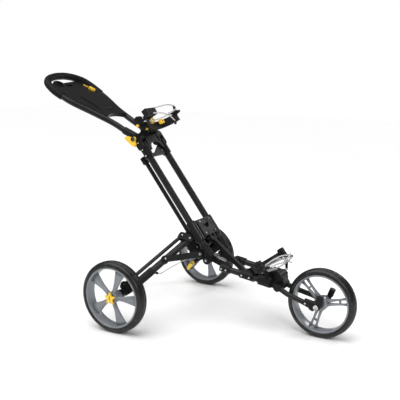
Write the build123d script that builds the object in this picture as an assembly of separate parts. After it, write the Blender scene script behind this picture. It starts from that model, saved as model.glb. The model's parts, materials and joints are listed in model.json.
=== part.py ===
"""Three-wheeled golf push trolley with a folding frame, in millimetres.

The trolley stands on the plane z = 0 and heads along +X. The origin is the middle of its footprint.
"""

import math
import os

from build123d import *

os.makedirs("parts", exist_ok=True)

# Driving dimensions
REAR_AXLE_X = -148.5
WHEELBASE = 728.0
TRACK = 727.0
REAR_WHEEL_RADIUS = 145.0
FRONT_WHEEL_RADIUS = 138.0
TYRE_DEPTH = 22.5
TYRE_WIDTH = 56.0
SPINE_ANGLE = 53.0
SPINE_HALF_SPACING = 66.0
SPINE_TUBE_RADIUS = 14.0
TUBE_WALL = 2.0
RUNNING_GAP = 0.4
LEG_FOLD_REMAINING = 10.0

# The spine leans back. A point in its plane is given by s, up along the spine from the fold pivot,
# and t, square to it and forwards.
FOLD_PIVOT_X = REAR_AXLE_X + 259
FOLD_PIVOT_Z = 261.0
COS = math.cos(math.radians(SPINE_ANGLE))
SIN = math.sin(math.radians(SPINE_ANGLE))
UP_SPINE = Vector(-COS, 0, SIN)
OUT_OF_SPINE = Vector(SIN, 0, COS)
TUBE_T = 16.0
TUBE_END_S = 12.0
TUBE_TOP_S = 556.0
GUIDE_ROD_T = -58.0
GUIDE_ROD_RADIUS = 9.0
HANDLE_PIVOT_S = 585.5
HANDLE_PIN_RADIUS = 5.0
HANDLE_TUBE_RADIUS = 12.5
GRIP_RADIUS = 16.0
CRADLE_PIN_RADIUS = 4.0
CRADLE_HINGE_S = 600.0
CRADLE_HINGE_T = 50.0
UPPER_CRADLE_T = 205.0
LOWER_CRADLE_T = 270.0
CRADLE_RADIUS = 128.0
CRADLE_HALF_ANGLE = 55.0
FOLD_PIN_RADIUS = 6.0
STRUT_PIN_RADIUS = 4.0
LEG_PIN_RADIUS = 5.0
ROD_PIN_RADIUS = 3.5
STRUT_TOP_S = 78.0
STRUT_TOP_T = 25.0
AXLE_RADIUS = 6.0
BEARING_RADIUS = 11.0
HUB_INNER_Y = TRACK / 2 - 22
AXLE_REACH = 15.0
PEDAL_PIN_RADIUS = 3.5
LEVER_INNER_Y = -98.0
LEVER_OUTER_Y = -106.0
CHEEK_INNER_Y = 82.0
CHEEK_OUTER_Y = 87.0
RELEASE_TRAVEL = 3.0


def on_spine(s, t, y=0.0):
    """The point at s up the spine, t out of it and y to the side."""
    pivot = Vector(FOLD_PIVOT_X, y, FOLD_PIVOT_Z)
    return pivot + UP_SPINE * s + OUT_OF_SPINE * t


def at(behind, y, z):
    """A point measured along X from the rear axle."""
    return Vector(REAR_AXLE_X + behind, y, z)


def rod(start, end, radius):
    """A solid cylinder between two points."""
    length = (end - start).length
    return Solid.make_cylinder(radius, length, Plane(origin=start, z_dir=end - start))


def tube(start, end, radius, bore):
    """A hollow cylinder between two points."""
    return rod(start, end, radius) - rod(start, end, bore)


def slab(corners, low_y, high_y):
    """A plate whose outline is a list of points in the XZ plane, between two values of y."""
    outline = [Vector(c.X, low_y, c.Z) for c in corners]
    face = make_face(Polyline(*outline, close=True))
    return extrude(face, amount=high_y - low_y, dir=(0, 1, 0))


def spine_box(low_s, high_s, low_t, high_t, low_y, high_y):
    """A block with its sides along the spine's own directions."""
    corners = [
        on_spine(low_s, low_t),
        on_spine(high_s, low_t),
        on_spine(high_s, high_t),
        on_spine(low_s, high_t),
    ]
    return slab(corners, low_y, high_y)


def stadium(first, second, axis, low, high, radius):
    """A plate with round ends about two points, square to axis, from low to high along it."""
    plane = Plane(origin=first + axis * low, x_dir=second - first, z_dir=axis)
    length = (second - first).length
    body = plane * Pos(length / 2, 0, (high - low) / 2) * Box(length, 2 * radius, high - low)
    ends = [rod(p + axis * low, p + axis * high, radius) for p in (first, second)]
    return body + ends[0] + ends[1]


def mirror_y(point):
    """The point's mirror image across the trolley's middle plane."""
    return Vector(point.X, -point.Y, point.Z)


def cross_rod(point, low_y, high_y, radius):
    """A cylinder along Y through a point in the XZ plane."""
    return rod(Vector(point.X, low_y, point.Z), Vector(point.X, high_y, point.Z), radius)


def both_sides(shape):
    """A right-hand piece and its mirror image on the left."""
    return [shape, mirror(shape, about=Plane.XZ)]


def bolt(point, direction, head_radius=3.6, head=3.0, shank_radius=2.5, shank=10.0):
    """A button-head bolt whose head stands on point, with its shank going the other way."""
    way = direction.normalized()
    screw = rod(point - way * shank, point + way * 0.5, shank_radius)
    return screw + rod(point, point + way * head, head_radius)


def group(solids):
    """Separate solids as one shape."""
    return Compound(children=[part for item in solids for part in item.solids()])


def save(shape, node):
    """Write one node."""
    export_step(shape, f"parts/{node}.step")


def smooth_path(points, radii):
    """Straight runs joined by tangent arcs."""
    return FilletPolyline(*points, radius=radii)


def sweep_round(path, radius):
    """A round bar along a path."""
    start = path.position_at(0)
    section = Plane(origin=start, z_dir=path.tangent_at(0)) * Circle(radius)
    return sweep(section, path=path)


# ---------------------------------------------------------------------------------------------
# Leg linkage. Each leg swings in the plane that holds the spine's direction and the leg, so its
# pivots are all along one slanted axis.
# ---------------------------------------------------------------------------------------------
LEG_ROOT = at(165, -SPINE_HALF_SPACING, 334)
LEG_AIM = at(18, -318, 145)
LEG_PIVOT_SHARE = 0.9
LEG_RADIUS = 14.0
ROD_RADIUS = 7.6
LEG_BOSS_DISTANCE = 134.0
STRUT_PLANE = 17.5
STRUT_THICKNESS = 5.5

PEDAL_PIVOT = at(-50, 0, 105)

leg_direction = (LEG_AIM - LEG_ROOT).normalized()
leg_length = (LEG_AIM - LEG_ROOT).length * LEG_PIVOT_SHARE
leg_end = LEG_ROOT + leg_direction * leg_length
leg_axis = leg_direction.cross(UP_SPINE * -1).normalized()
leg_outward = (leg_direction - UP_SPINE * leg_direction.dot(UP_SPINE)).normalized()
rod_offset = UP_SPINE * 26.5 + leg_outward * 20.4
rod_root = LEG_ROOT + rod_offset
rod_end = leg_end + rod_offset
leg_boss = LEG_ROOT + leg_direction * LEG_BOSS_DISTANCE
STRUT_ROOT_DROP = 78.2
strut_root = LEG_ROOT - UP_SPINE * STRUT_ROOT_DROP

# Fold travel: the slider rises until the leg is LEG_FOLD_REMAINING short of lying along the spine.
rest_angle = math.degrees(math.acos(-leg_direction.dot(UP_SPINE)))
strut_length = (leg_boss - strut_root).length
folded_side = LEG_BOSS_DISTANCE * math.sin(math.radians(LEG_FOLD_REMAINING))
folded_rise = LEG_BOSS_DISTANCE * math.cos(math.radians(LEG_FOLD_REMAINING))
slider_travel = folded_rise + math.sqrt(strut_length**2 - folded_side**2) - STRUT_ROOT_DROP


def main_frame():
    """Spine tubes, guide rod, yoke, lower brackets and the bolts that hold them."""
    tubes = []
    tube_space = []
    for y in (-SPINE_HALF_SPACING, SPINE_HALF_SPACING):
        low = on_spine(TUBE_END_S, TUBE_T, y)
        high = on_spine(TUBE_TOP_S, TUBE_T, y)
        tubes.append(tube(low, high, SPINE_TUBE_RADIUS, SPINE_TUBE_RADIUS - TUBE_WALL))
        tube_space.append(rod(low, high, SPINE_TUBE_RADIUS))
    save(group(tubes), "spine_tubes")
    guide = rod(on_spine(84, GUIDE_ROD_T), on_spine(520, GUIDE_ROD_T), GUIDE_ROD_RADIUS)
    save(guide, "guide_rod")

    hub = on_spine(HANDLE_PIVOT_S, TUBE_T)
    yoke = spine_box(518, 606, 22, 32, -50, 50)
    yoke -= rod(on_spine(512, -40), on_spine(512, 60), 40)
    for side in (-1, 1):
        y = side * SPINE_HALF_SPACING
        yoke += rod(on_spine(490, TUBE_T, y), on_spine(556, TUBE_T, y), 19)
        for low_y, high_y, low_s, radius in ((42, 50, 560, 20), (CHEEK_INNER_Y, CHEEK_OUTER_Y, 545, 17)):
            first = on_spine(low_s, TUBE_T)
            second = on_spine(HANDLE_PIVOT_S, TUBE_T)
            yoke += stadium(first, second, Vector(0, side, 0), low_y, high_y, radius)
    gusset = [(490, -52), (504, -52), (504, -20), (550, 52), (490, 52)]
    outline = Polyline(*[on_spine(s, 12, y) for s, y in gusset], close=True)
    yoke += extrude(make_face(outline), amount=10, dir=OUT_OF_SPINE)
    yoke += spine_box(500, 512, GUIDE_ROD_T, 14, -5, 5)
    yoke += rod(on_spine(496, GUIDE_ROD_T), on_spine(526, GUIDE_ROD_T), 15)
    for y in (-30, 30):
        yoke += spine_box(584, 612, 24, CRADLE_HINGE_T, y - 7, y + 7)
        yoke += cross_rod(on_spine(CRADLE_HINGE_S, CRADLE_HINGE_T), y - 7, y + 7, 12)
    handle_space = spine_box(560, 620, -20, 50, 50, 82)
    yoke = yoke - handle_space - mirror(handle_space, about=Plane.XZ)
    yoke -= cross_rod(hub, -120, 120, HANDLE_PIN_RADIUS)
    yoke -= cross_rod(on_spine(CRADLE_HINGE_S, CRADLE_HINGE_T), -60, 60, CRADLE_PIN_RADIUS)
    for space in tube_space + [guide]:
        yoke -= space
    bolts = []
    for s in (500, 529):
        bolts += both_sides(bolt(on_spine(s, TUBE_T, -84), Vector(0, -1, 0), shank=3))
    for s, y in ((505, 30), (528, 36)):
        bolts.append(bolt(on_spine(s, 22, y), OUT_OF_SPINE, shank=8))
    for screw in bolts:
        yoke -= screw
    save(yoke, "yoke")
    pin = cross_rod(hub, LEVER_OUTER_Y - 4, CHEEK_OUTER_Y + 1, HANDLE_PIN_RADIUS)
    pin += cross_rod(hub, LEVER_OUTER_Y - 4, LEVER_OUTER_Y - 0.4, 9)
    pin += cross_rod(hub, -CHEEK_OUTER_Y - 4, -CHEEK_OUTER_Y, 7)
    pin += cross_rod(hub, CHEEK_OUTER_Y, CHEEK_OUTER_Y + 4, 7)
    cradle_pin = cross_rod(on_spine(CRADLE_HINGE_S, CRADLE_HINGE_T), -42, 42, CRADLE_PIN_RADIUS)
    save(group(bolts + [pin, cradle_pin]), "yoke_fasteners")

    fold_pivot = on_spine(0, 0)
    fasteners = []
    side_shape = rod(on_spine(4, TUBE_T, -SPINE_HALF_SPACING), on_spine(62, TUBE_T, -SPINE_HALF_SPACING), 17.5)
    side_shape += spine_box(18, 60, -40, 4, -62, -50)
    side_shape += rod(strut_root - leg_axis * 8, strut_root + leg_axis * (STRUT_PLANE - 0.5), 12)
    side_shape += cross_rod(fold_pivot, -85, -50, 17)
    side_shape -= tube_space[0]
    side_shape -= cross_rod(fold_pivot, -90, -40, FOLD_PIN_RADIUS)
    side_shape -= rod(strut_root - leg_axis * 30, strut_root + leg_axis * 30, STRUT_PIN_RADIUS)
    for s, t in ((26, -31), (46, -31)):
        screw = bolt(on_spine(s, t, -62), Vector(0, -1, 0), shank=8)
        side_shape -= screw
        fasteners += both_sides(screw)
    cross_tube = cross_rod(on_spine(50, -28), -51, 51, 9)
    save(side_shape + mirror(side_shape, about=Plane.XZ) + cross_tube, "lower_bracket")
    fold_pin = cross_rod(fold_pivot, -87, 87, FOLD_PIN_RADIUS)
    fold_pin += cross_rod(fold_pivot, -91, -85, 9)
    fold_pin += cross_rod(fold_pivot, 85, 91, 9)
    fasteners.append(fold_pin)
    top = STRUT_PLANE + STRUT_THICKNESS + RUNNING_GAP
    strut_pin = rod(strut_root - leg_axis * 8, strut_root + leg_axis * top, STRUT_PIN_RADIUS)
    strut_pin += rod(strut_root + leg_axis * top, strut_root + leg_axis * (top + 3.5), 6.5)
    fasteners += both_sides(strut_pin)
    save(group(fasteners), "lower_fasteners")


def slider():
    """The casting that slides on the spine tubes, and the ribbed hub block that carries the legs."""
    casting = spine_box(88, 164, 24, 38, -52, 52)
    casting -= rod(on_spine(140, 10), on_spine(140, 60), 20)
    casting += spine_box(140, 164, 24, 36, -30, 30)
    for y in (-SPINE_HALF_SPACING, SPINE_HALF_SPACING):
        casting += rod(on_spine(80, TUBE_T, y), on_spine(168, TUBE_T, y), 20)
    for side in (-1, 1):
        casting += spine_box(62, 96, 12, 38, side * 15.5 - 4, side * 15.5 + 4)
        y = side * SPINE_HALF_SPACING
        casting -= rod(on_spine(70, TUBE_T, y), on_spine(180, TUBE_T, y), SPINE_TUBE_RADIUS + RUNNING_GAP)
    bolts = [bolt(on_spine(s, 38, y), OUT_OF_SPINE) for s in (98, 152) for y in (-38, 38)]
    strut_top = on_spine(STRUT_TOP_S, STRUT_TOP_T)
    strut_pin = cross_rod(strut_top, -20, 20, STRUT_PIN_RADIUS)
    strut_pin += cross_rod(strut_top, -23.5, -19.5, 6)
    strut_pin += cross_rod(strut_top, 19.5, 23.5, 6)
    bolts.append(strut_pin)
    for screw in bolts:
        casting -= screw
    save(casting, "slider_casting")

    block = spine_box(62, 150, -80, 2, -40, 40)
    for s in (78, 94, 110, 126):
        for side in (-1, 1):
            block -= spine_box(s - 2.5, s + 2.5, -90, 10, side * 37, side * 41)
    block += spine_box(92, 160, 0, 24, -11, 11)
    web = LEG_ROOT - leg_outward * 26
    for low in (-21, 15):
        plate = stadium(LEG_ROOT, rod_root, leg_axis, low, low + 6, 14)
        plate += stadium(LEG_ROOT, web, leg_axis, low, low + 6, 13)
        plate -= rod(LEG_ROOT - leg_axis * 30, LEG_ROOT + leg_axis * 30, LEG_PIN_RADIUS)
        plate -= rod(rod_root - leg_axis * 30, rod_root + leg_axis * 30, ROD_PIN_RADIUS)
        block += plate + mirror(plate, about=Plane.XZ)
    post = rod(web - leg_axis * 21, web + leg_axis * 21, 10)
    block += post + mirror(post, about=Plane.XZ)
    swing = stadium(LEG_ROOT, LEG_ROOT + leg_outward * 60, leg_axis, -15, 15, 15)
    swing += stadium(rod_root, rod_root + leg_outward * 40, leg_axis, -15, 15, 11)
    block = block - swing - mirror(swing, about=Plane.XZ)
    block -= rod(on_spine(50, GUIDE_ROD_T), on_spine(170, GUIDE_ROD_T), GUIDE_ROD_RADIUS + RUNNING_GAP)
    for y in (-SPINE_HALF_SPACING, SPINE_HALF_SPACING):
        block -= rod(on_spine(40, TUBE_T, y), on_spine(180, TUBE_T, y), 20)
    pins = []
    for s, t in ((72, -30), (138, -12)):
        for screw in both_sides(bolt(on_spine(s, t, -40), Vector(0, -1, 0))):
            block -= screw
            bolts.append(screw)
    for point, radius in ((LEG_ROOT, LEG_PIN_RADIUS), (rod_root, ROD_PIN_RADIUS)):
        pin = rod(point - leg_axis * 22, point + leg_axis * 21, radius)
        pin += rod(point + leg_axis * 21, point + leg_axis * 24, radius + 1.2)
        pins += both_sides(pin)
    save(block, "hub_block")
    save(group(bolts + pins), "slider_fasteners")


def leg(side):
    """One rear leg with its rod, strut, wheel carrier and axle. They are drawn for the right side."""
    def place(shape):
        return shape if side == "right" else mirror(shape, about=Plane.XZ)

    bar = rod(LEG_ROOT, leg_end, LEG_RADIUS)
    bar -= rod(LEG_ROOT + leg_direction * 40, leg_end - leg_direction * 40, LEG_RADIUS - TUBE_WALL)
    for point in (LEG_ROOT, leg_end):
        bar += rod(point - leg_axis * 14, point + leg_axis * 14, LEG_RADIUS + 0.6)
    for point in (LEG_ROOT, leg_end):
        bar -= rod(point - leg_axis * 20, point + leg_axis * 20, LEG_PIN_RADIUS + 0.05)
    save(place(bar), f"{side}_leg")
    boss = rod(leg_boss - leg_axis * 15.5, leg_boss + leg_axis * 16, 16.6)
    sleeve_low = LEG_ROOT + leg_direction * (leg_length * 0.64)
    sleeve_high = LEG_ROOT + leg_direction * (leg_length * 0.9)
    sleeve = rod(sleeve_low, sleeve_high, 16.5)
    anchor = LEG_ROOT + leg_direction * (leg_length * 0.66)
    ear = anchor + Vector(10, 30, -14)
    sleeve += rod(anchor, ear, 5)
    leg_space = rod(LEG_ROOT, leg_end, LEG_RADIUS)
    save(place(group([boss - leg_space, sleeve - leg_space])), f"{side}_leg_sleeves")
    slack = Vector(ear.X + 8, -1, ear.Z + 8)
    middle = Vector((ear.X + slack.X) / 2, (ear.Y + slack.Y) / 2, ear.Z + 1)
    lead = ear + (ear - anchor).normalized() * 14
    cable = sweep_round(smooth_path([ear, lead, middle, slack], [40, 300]), 1.6)
    save(place(cable), f"{side}_brake_cable")

    thin = rod(rod_root + leg_direction * 8, rod_end - leg_direction * 8, ROD_RADIUS)
    for point in (rod_root, rod_end):
        thin += rod(point - leg_axis * 10, point + leg_axis * 10, 10)
    for point in (rod_root, rod_end):
        thin -= rod(point - leg_axis * 15, point + leg_axis * 15, ROD_PIN_RADIUS + 0.05)
    save(place(thin), f"{side}_leg_rod")

    strut = stadium(strut_root, leg_boss, leg_axis, STRUT_PLANE, STRUT_PLANE + STRUT_THICKNESS, 13)
    strut -= rod(strut_root, strut_root + leg_axis * 40, STRUT_PIN_RADIUS + 0.05)
    top = STRUT_PLANE + STRUT_THICKNESS
    strut += rod(leg_boss + leg_axis * (top - 1), leg_boss + leg_axis * (top + 5), 8)
    save(place(strut), f"{side}_leg_strut")

    web = leg_end + leg_outward * 27
    axle = at(0, 0, REAR_WHEEL_RADIUS)
    half_track = TRACK / 2
    carrier = rod(web - leg_axis * 21, web + leg_axis * 21, 9)
    for low in (-21, 15):
        plate = stadium(leg_end, rod_end, leg_axis, low, low + 6, 14)
        plate += stadium(leg_end, web, leg_axis, low, low + 6, 13)
        carrier += plate
    carrier += cross_rod(axle, -HUB_INNER_Y + 3, -314, 17)
    swing = stadium(leg_end, leg_end - leg_outward * 60, leg_axis, -15, 15, 15)
    swing += stadium(rod_end, rod_end - leg_outward * 40, leg_axis, -15, 15, 11)
    carrier -= swing
    carrier -= cross_rod(axle, -400, -300, AXLE_RADIUS)
    pins = []
    for point, radius in ((leg_end, LEG_PIN_RADIUS), (rod_end, ROD_PIN_RADIUS)):
        bore = rod(point - leg_axis * 30, point + leg_axis * 30, radius)
        carrier -= bore
        pin = rod(point - leg_axis * 22, point + leg_axis * 21, radius)
        pins.append(pin + rod(point + leg_axis * 21, point + leg_axis * 23.5, radius + 1.8))
    if side == "left":
        pedal_y = mirror_y(PEDAL_PIVOT)
        carrier += stadium(axle, pedal_y, Vector(0, -1, 0), 331, 337, 9)
        carrier -= cross_rod(pedal_y, -340, -300, PEDAL_PIN_RADIUS)
        carrier -= cross_rod(axle, -400, -300, AXLE_RADIUS)
        pins.append(cross_rod(pedal_y, -337, -315, PEDAL_PIN_RADIUS))
    save(place(carrier), f"{side}_wheel_carrier")
    shaft = cross_rod(axle, -half_track - AXLE_REACH, -316, AXLE_RADIUS)
    save(place(group(pins + [shaft])), f"{side}_axle_and_pins")


def wheel_profile(radius, width):
    """The tyre's section, from the rim seat out, in a plane with the radius along X."""
    inner = radius - TYRE_DEPTH
    half = width / 2
    crown = Polyline((inner, -half + 4), (inner, half - 4))
    upper = ThreePointArc((inner, half - 4), (radius - 8, half - 3), (radius, half - 18))
    tread = Line((radius, half - 18), (radius, -half + 18))
    lower = ThreePointArc((radius, -half + 18), (radius - 8, -half + 3), (inner, -half + 4))
    return make_face([crown, upper, tread, lower])


def ring(inner, outer, low_y, high_y):
    """A ring about the Y axis."""
    bar = rod(Vector(0, low_y, 0), Vector(0, high_y, 0), outer)
    return bar - rod(Vector(0, low_y, 0), Vector(0, high_y, 0), inner)


def spoke(inner_radius, outer_radius, inner_width, outer_width, low_y, high_y, turn):
    """A blade from the hub to the rim, wider at one end, turned about the Y axis."""
    corners = [
        Vector(-inner_width / 2, 0, inner_radius),
        Vector(inner_width / 2, 0, inner_radius),
        Vector(outer_width / 2, 0, outer_radius),
        Vector(-outer_width / 2, 0, outer_radius),
    ]
    return slab(corners, low_y, high_y).rotate(Axis.Y, turn)


def wheel_rim(radius, width, hub_radius, blades):
    """Rim barrel, hub and spokes as one moulding."""
    seat = radius - TYRE_DEPTH
    half = width / 2
    rim = ring(seat - 5, seat, -half + 4, half - 4)
    rim += ring(seat - 16, seat - 4, -5, 5)
    rim += ring(BEARING_RADIUS, hub_radius, -22, 22)
    for turn, inner_width, outer_width in blades:
        rim += spoke(hub_radius - 3, seat - 8, inner_width, outer_width, -9, 3, turn)
    return rim


def wheel(name, centre, radius, blades, hub_radius):
    """Tyre, rim and two bearings about an axle along Y."""
    tyre = revolve(wheel_profile(radius, TYRE_WIDTH), axis=Axis.Y)
    rim = wheel_rim(radius, TYRE_WIDTH, hub_radius, blades)
    bearings = [ring(AXLE_RADIUS + 0.05, BEARING_RADIUS, low, low + 7) for low in (-18, 11)]
    shift = Pos(*centre)
    save(shift * tyre, f"{name}_tyre")
    save(shift * rim, f"{name}_rim")
    save(group([shift * item for item in bearings]), f"{name}_bearings")


def star(points, outer, inner, low_y, high_y):
    """A pointed star about the Y axis."""
    corners = []
    for k in range(2 * points):
        reach = outer if k % 2 == 0 else inner
        turn = math.pi * k / points
        corners.append(Vector(reach * math.sin(turn), 0, reach * math.cos(turn)))
    return slab(corners, low_y, high_y)


def rear_wheels():
    """Both rear wheels, with the star-shaped release button in each hub."""
    blades = [(18 + 72 * k, 19, 52) for k in range(5)]
    for side, sign in (("right", -1), ("left", 1)):
        centre = Vector(REAR_AXLE_X, sign * TRACK / 2, REAR_WHEEL_RADIUS)
        wheel(f"{side}_wheel", centre, REAR_WHEEL_RADIUS, blades, 24)
        low = 22 + RELEASE_TRAVEL + 0.5
        button = star(5, 27, 13, low, low + 7)
        button += rod(Vector(0, 18.5 + RELEASE_TRAVEL, 0), Vector(0, low + 1, 0), 9)
        button = button if sign > 0 else mirror(button, about=Plane.XZ)
        save(Pos(*centre) * button, f"{side}_release_button")


def front_frame():
    """The lower section that carries the front wheel."""
    near = -SPINE_HALF_SPACING
    tube_start = at(316, near, 238)
    tube_end = at(534, near, 206)
    bar = tube(tube_start, tube_end, 12.5, 10.5)
    save(group(both_sides(bar)), "front_tubes")
    bar_space = rod(tube_start, tube_end, 12.5)
    along = (tube_end - tube_start).normalized()

    pivot = on_spine(0, 0)
    knuckle = rod(tube_start + along * 2, tube_start + along * 44, 17)
    arm_corners = [at(257, 0, 250), at(262, 0, 272), at(334, 0, 250), at(344, 0, 226), at(300, 0, 234)]
    knuckle += slab(arm_corners, -45, -38)
    knuckle += cross_rod(pivot, -45, -38, 15)
    bridge = [at(318, 0, 254), at(342, 0, 250), at(340, 0, 224), at(316, 0, 228)]
    knuckle += slab(bridge, -62, -38)
    knuckle -= bar_space
    knuckle -= cross_rod(pivot, -60, -30, FOLD_PIN_RADIUS + 0.05)
    screws = []
    for distance in (12, 32):
        spot = tube_start + along * distance + Vector(0, -17, 0)
        screw = bolt(spot, Vector(0, -1, 0), shank=3)
        knuckle -= screw
        screws += both_sides(screw)
    save(group(both_sides(knuckle)), "front_knuckles")

    bracket = slab([at(404, 0, 226), at(456, 0, 218), at(462, 0, 196), at(408, 0, 204)], -60, 60)
    bracket -= slab([at(380, 0, 260), at(440, 0, 260), at(440, 0, 190), at(380, 0, 190)], -12, 12)
    for side in (-1, 1):
        spot_low = tube_start + along * 92
        spot_high = tube_start + along * 150
        clamp = rod(spot_low, spot_high, 17)
        bracket += clamp if side < 0 else mirror(clamp, about=Plane.XZ)
        y = side * 16
        bracket += slab([at(392, 0, 222), at(430, 0, 222), at(430, 0, 192), at(392, 0, 192)], y - 4, y + 4)
    for space in both_sides(bar_space):
        bracket -= space
    strut_low = at(404, 0, 204)
    bracket -= cross_rod(strut_low, -40, 40, STRUT_PIN_RADIUS)
    for distance in (104, 138):
        spot = tube_start + along * distance + Vector(0, -17, 0)
        for screw in both_sides(bolt(spot, Vector(0, -1, 0), shank=3)):
            bracket -= screw
            screws.append(screw)
    stub = cross_rod(strut_low, -20, -12.5, STRUT_PIN_RADIUS) + cross_rod(strut_low, -24, -20, 8)
    for screw in both_sides(stub):
        bracket -= screw
        screws.append(screw)
    save(bracket, "cross_bracket")
    save(group(screws), "front_fasteners")

    barrel_start = tube_start + along * 176
    barrel = rod(barrel_start, tube_end + along * 6, 20) - bar_space
    save(group(both_sides(barrel)), "front_tube_caps")

    head = slab([at(510, 0, 235), at(548, 0, 243), at(574, 0, 216), at(572, 0, 172), at(512, 0, 172)], -24, 24)
    head += slab([at(466, 0, 222), at(520, 0, 226), at(520, 0, 184), at(466, 0, 200)], -24, 24)
    head += slab([at(500, 0, 222), at(524, 0, 220), at(520, 0, 192), at(498, 0, 196)], -60, 60)
    head += cross_rod(at(552, 0, 222), -32, 32, 17)
    head += cross_rod(at(556, 0, 182), -46, 46, 16)
    for space in both_sides(rod(barrel_start, tube_end + along * 6, 20)):
        head -= space
    fork_side = [at(548, -32, 184), at(600, -41, 163), at(668, -48, 146), at(712, -50, 131)]
    blade = sweep_round(smooth_path(fork_side, [60, 60]), 10.5)
    head -= blade
    head -= mirror(blade, about=Plane.XZ)
    save(head, "front_head")
    save(group(both_sides(blade)), "fork")
    fork_ends(blade)
    return [bracket, head]


def fork_ends(blade):
    """The pieces that hold the front axle, with the knob that steers the wheel's tracking."""

    axle = at(WHEELBASE, 0, FRONT_WHEEL_RADIUS)
    dropout = rod(at(700, -50, 134.5), at(716, -50, 129.8), 14)
    dropout += cross_rod(axle, -58, -42, 15)
    dropout += slab([at(706, 0, 146), at(736, 0, 152), at(740, 0, 128), at(706, 0, 118)], -58, -42)
    shaft = cross_rod(axle, -64, 64, AXLE_RADIUS) + cross_rod(axle, -68, -58, 10) + cross_rod(axle, 58, 68, 10)
    dropout = dropout - blade - shaft
    holder = mirror(dropout, about=Plane.XZ)
    holder += rod(at(738, 50, 146), at(742, 50, 156), 9)
    holder = holder - shaft - mirror(blade, about=Plane.XZ)
    save(group([dropout, holder]), "fork_ends")
    save(shaft, "front_axle")
    knob = rod(at(742.2, 50, 156.5), at(753, 50, 183.5), 12)
    save(knob, "tracking_knob")


def front_wheel():
    """The front wheel, with three pairs of narrow spokes."""
    blades = []
    for k in range(3):
        for lean in (-13, 13):
            blades.append((85 + 120 * k + lean, 12, 13))
    centre = Vector(REAR_AXLE_X + WHEELBASE, 0, FRONT_WHEEL_RADIUS)
    wheel("front_wheel", centre, FRONT_WHEEL_RADIUS, blades, 27)


def front_strut():
    """The flat bar that ties the slider to the front section."""
    low = at(404, 0, 204)
    high = on_spine(STRUT_TOP_S, STRUT_TOP_T)
    bar = stadium(Vector(low.X, 0, low.Z), Vector(high.X, 0, high.Z), Vector(0, 1, 0), -9, 9, 9)
    bar -= cross_rod(low, -20, 20, STRUT_PIN_RADIUS + 0.05)
    bar -= cross_rod(high, -20, 20, STRUT_PIN_RADIUS + 1.2)
    save(bar, "front_strut")


def bag_cradle(name, low_s, high_s, centre_t, strap_t, neck, seat=()):
    """A curved band that a bag leans in, on its neck, with two padded ends and an elastic strap."""
    inner = CRADLE_RADIUS
    outer = inner + 9
    drum = rod(on_spine(low_s, centre_t), on_spine(high_s, centre_t), outer)
    drum -= rod(on_spine(low_s - 1, centre_t), on_spine(high_s + 1, centre_t), inner)
    reach = inner * math.cos(math.radians(CRADLE_HALF_ANGLE))
    drum &= spine_box(low_s, high_s, centre_t - outer - 1, centre_t - reach, -150, 150)
    drum += neck
    for shape in seat:
        drum -= shape
    save(drum, f"{name}_cradle_band")
    middle = (low_s + high_s) / 2
    angle = math.radians(CRADLE_HALF_ANGLE)
    pad_t = centre_t - (inner + 4) * math.cos(angle)
    pad_y = (inner + 4) * math.sin(angle)
    pads = []
    for side in (-1, 1):
        pad = spine_box(middle - 24, middle + 24, pad_t + 5, pad_t + 30, side * pad_y - 9, side * pad_y + 9)
        pads.append(pad - drum)
    knot = pad_t + 30
    corners = [
        on_spine(middle, knot, -pad_y),
        on_spine(middle, knot + strap_t * 0.62, -pad_y * 0.86),
        on_spine(middle, knot + strap_t, -pad_y * 0.36),
        on_spine(middle, knot + strap_t, pad_y * 0.36),
        on_spine(middle, knot + strap_t * 0.62, pad_y * 0.86),
        on_spine(middle, knot, pad_y),
    ]
    strap = sweep_round(smooth_path(corners, [26, 26, 26, 26]), 3)
    save(strap, f"{name}_strap")
    save(group([pad - strap for pad in pads]), f"{name}_cradle_pads")


def upper_cradle():
    """The upper bag cradle, hinged on the yoke."""
    hinge = on_spine(CRADLE_HINGE_S, CRADLE_HINGE_T)
    neck = spine_box(586, 614, CRADLE_HINGE_T, UPPER_CRADLE_T - CRADLE_RADIUS - 2, -21, 21)
    neck += cross_rod(hinge, -21, 21, 11)
    neck -= cross_rod(hinge, -60, 60, CRADLE_PIN_RADIUS + 0.05)
    bag_cradle("upper", 583, 617, UPPER_CRADLE_T, 34, neck)


def lower_cradle(seat):
    """The lower bag cradle, fixed on the front section's cross bracket and head."""
    neck = spine_box(-150, -132, 112, 136, -26, 26)
    bag_cradle("lower", -152, -122, LOWER_CRADLE_T, 40, neck, seat)


def handle_path():
    """The handle loop from its right end round to its left, as points and corner radii."""
    right = [
        at(-112, -66, 747),
        at(-205, -67, 795),
        at(-300, -90, 838),
        at(-390, -127, 882),
        at(-470, -137, 927),
        at(-518, -125, 958),
        at(-546, -84, 976),
        at(-553, -30, 984),
    ]
    radii = [300, 400, 250, 130, 60, 85, 200]
    left = [mirror_y(point) for point in reversed(right)]
    return right + left, radii + radii[::-1]


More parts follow.
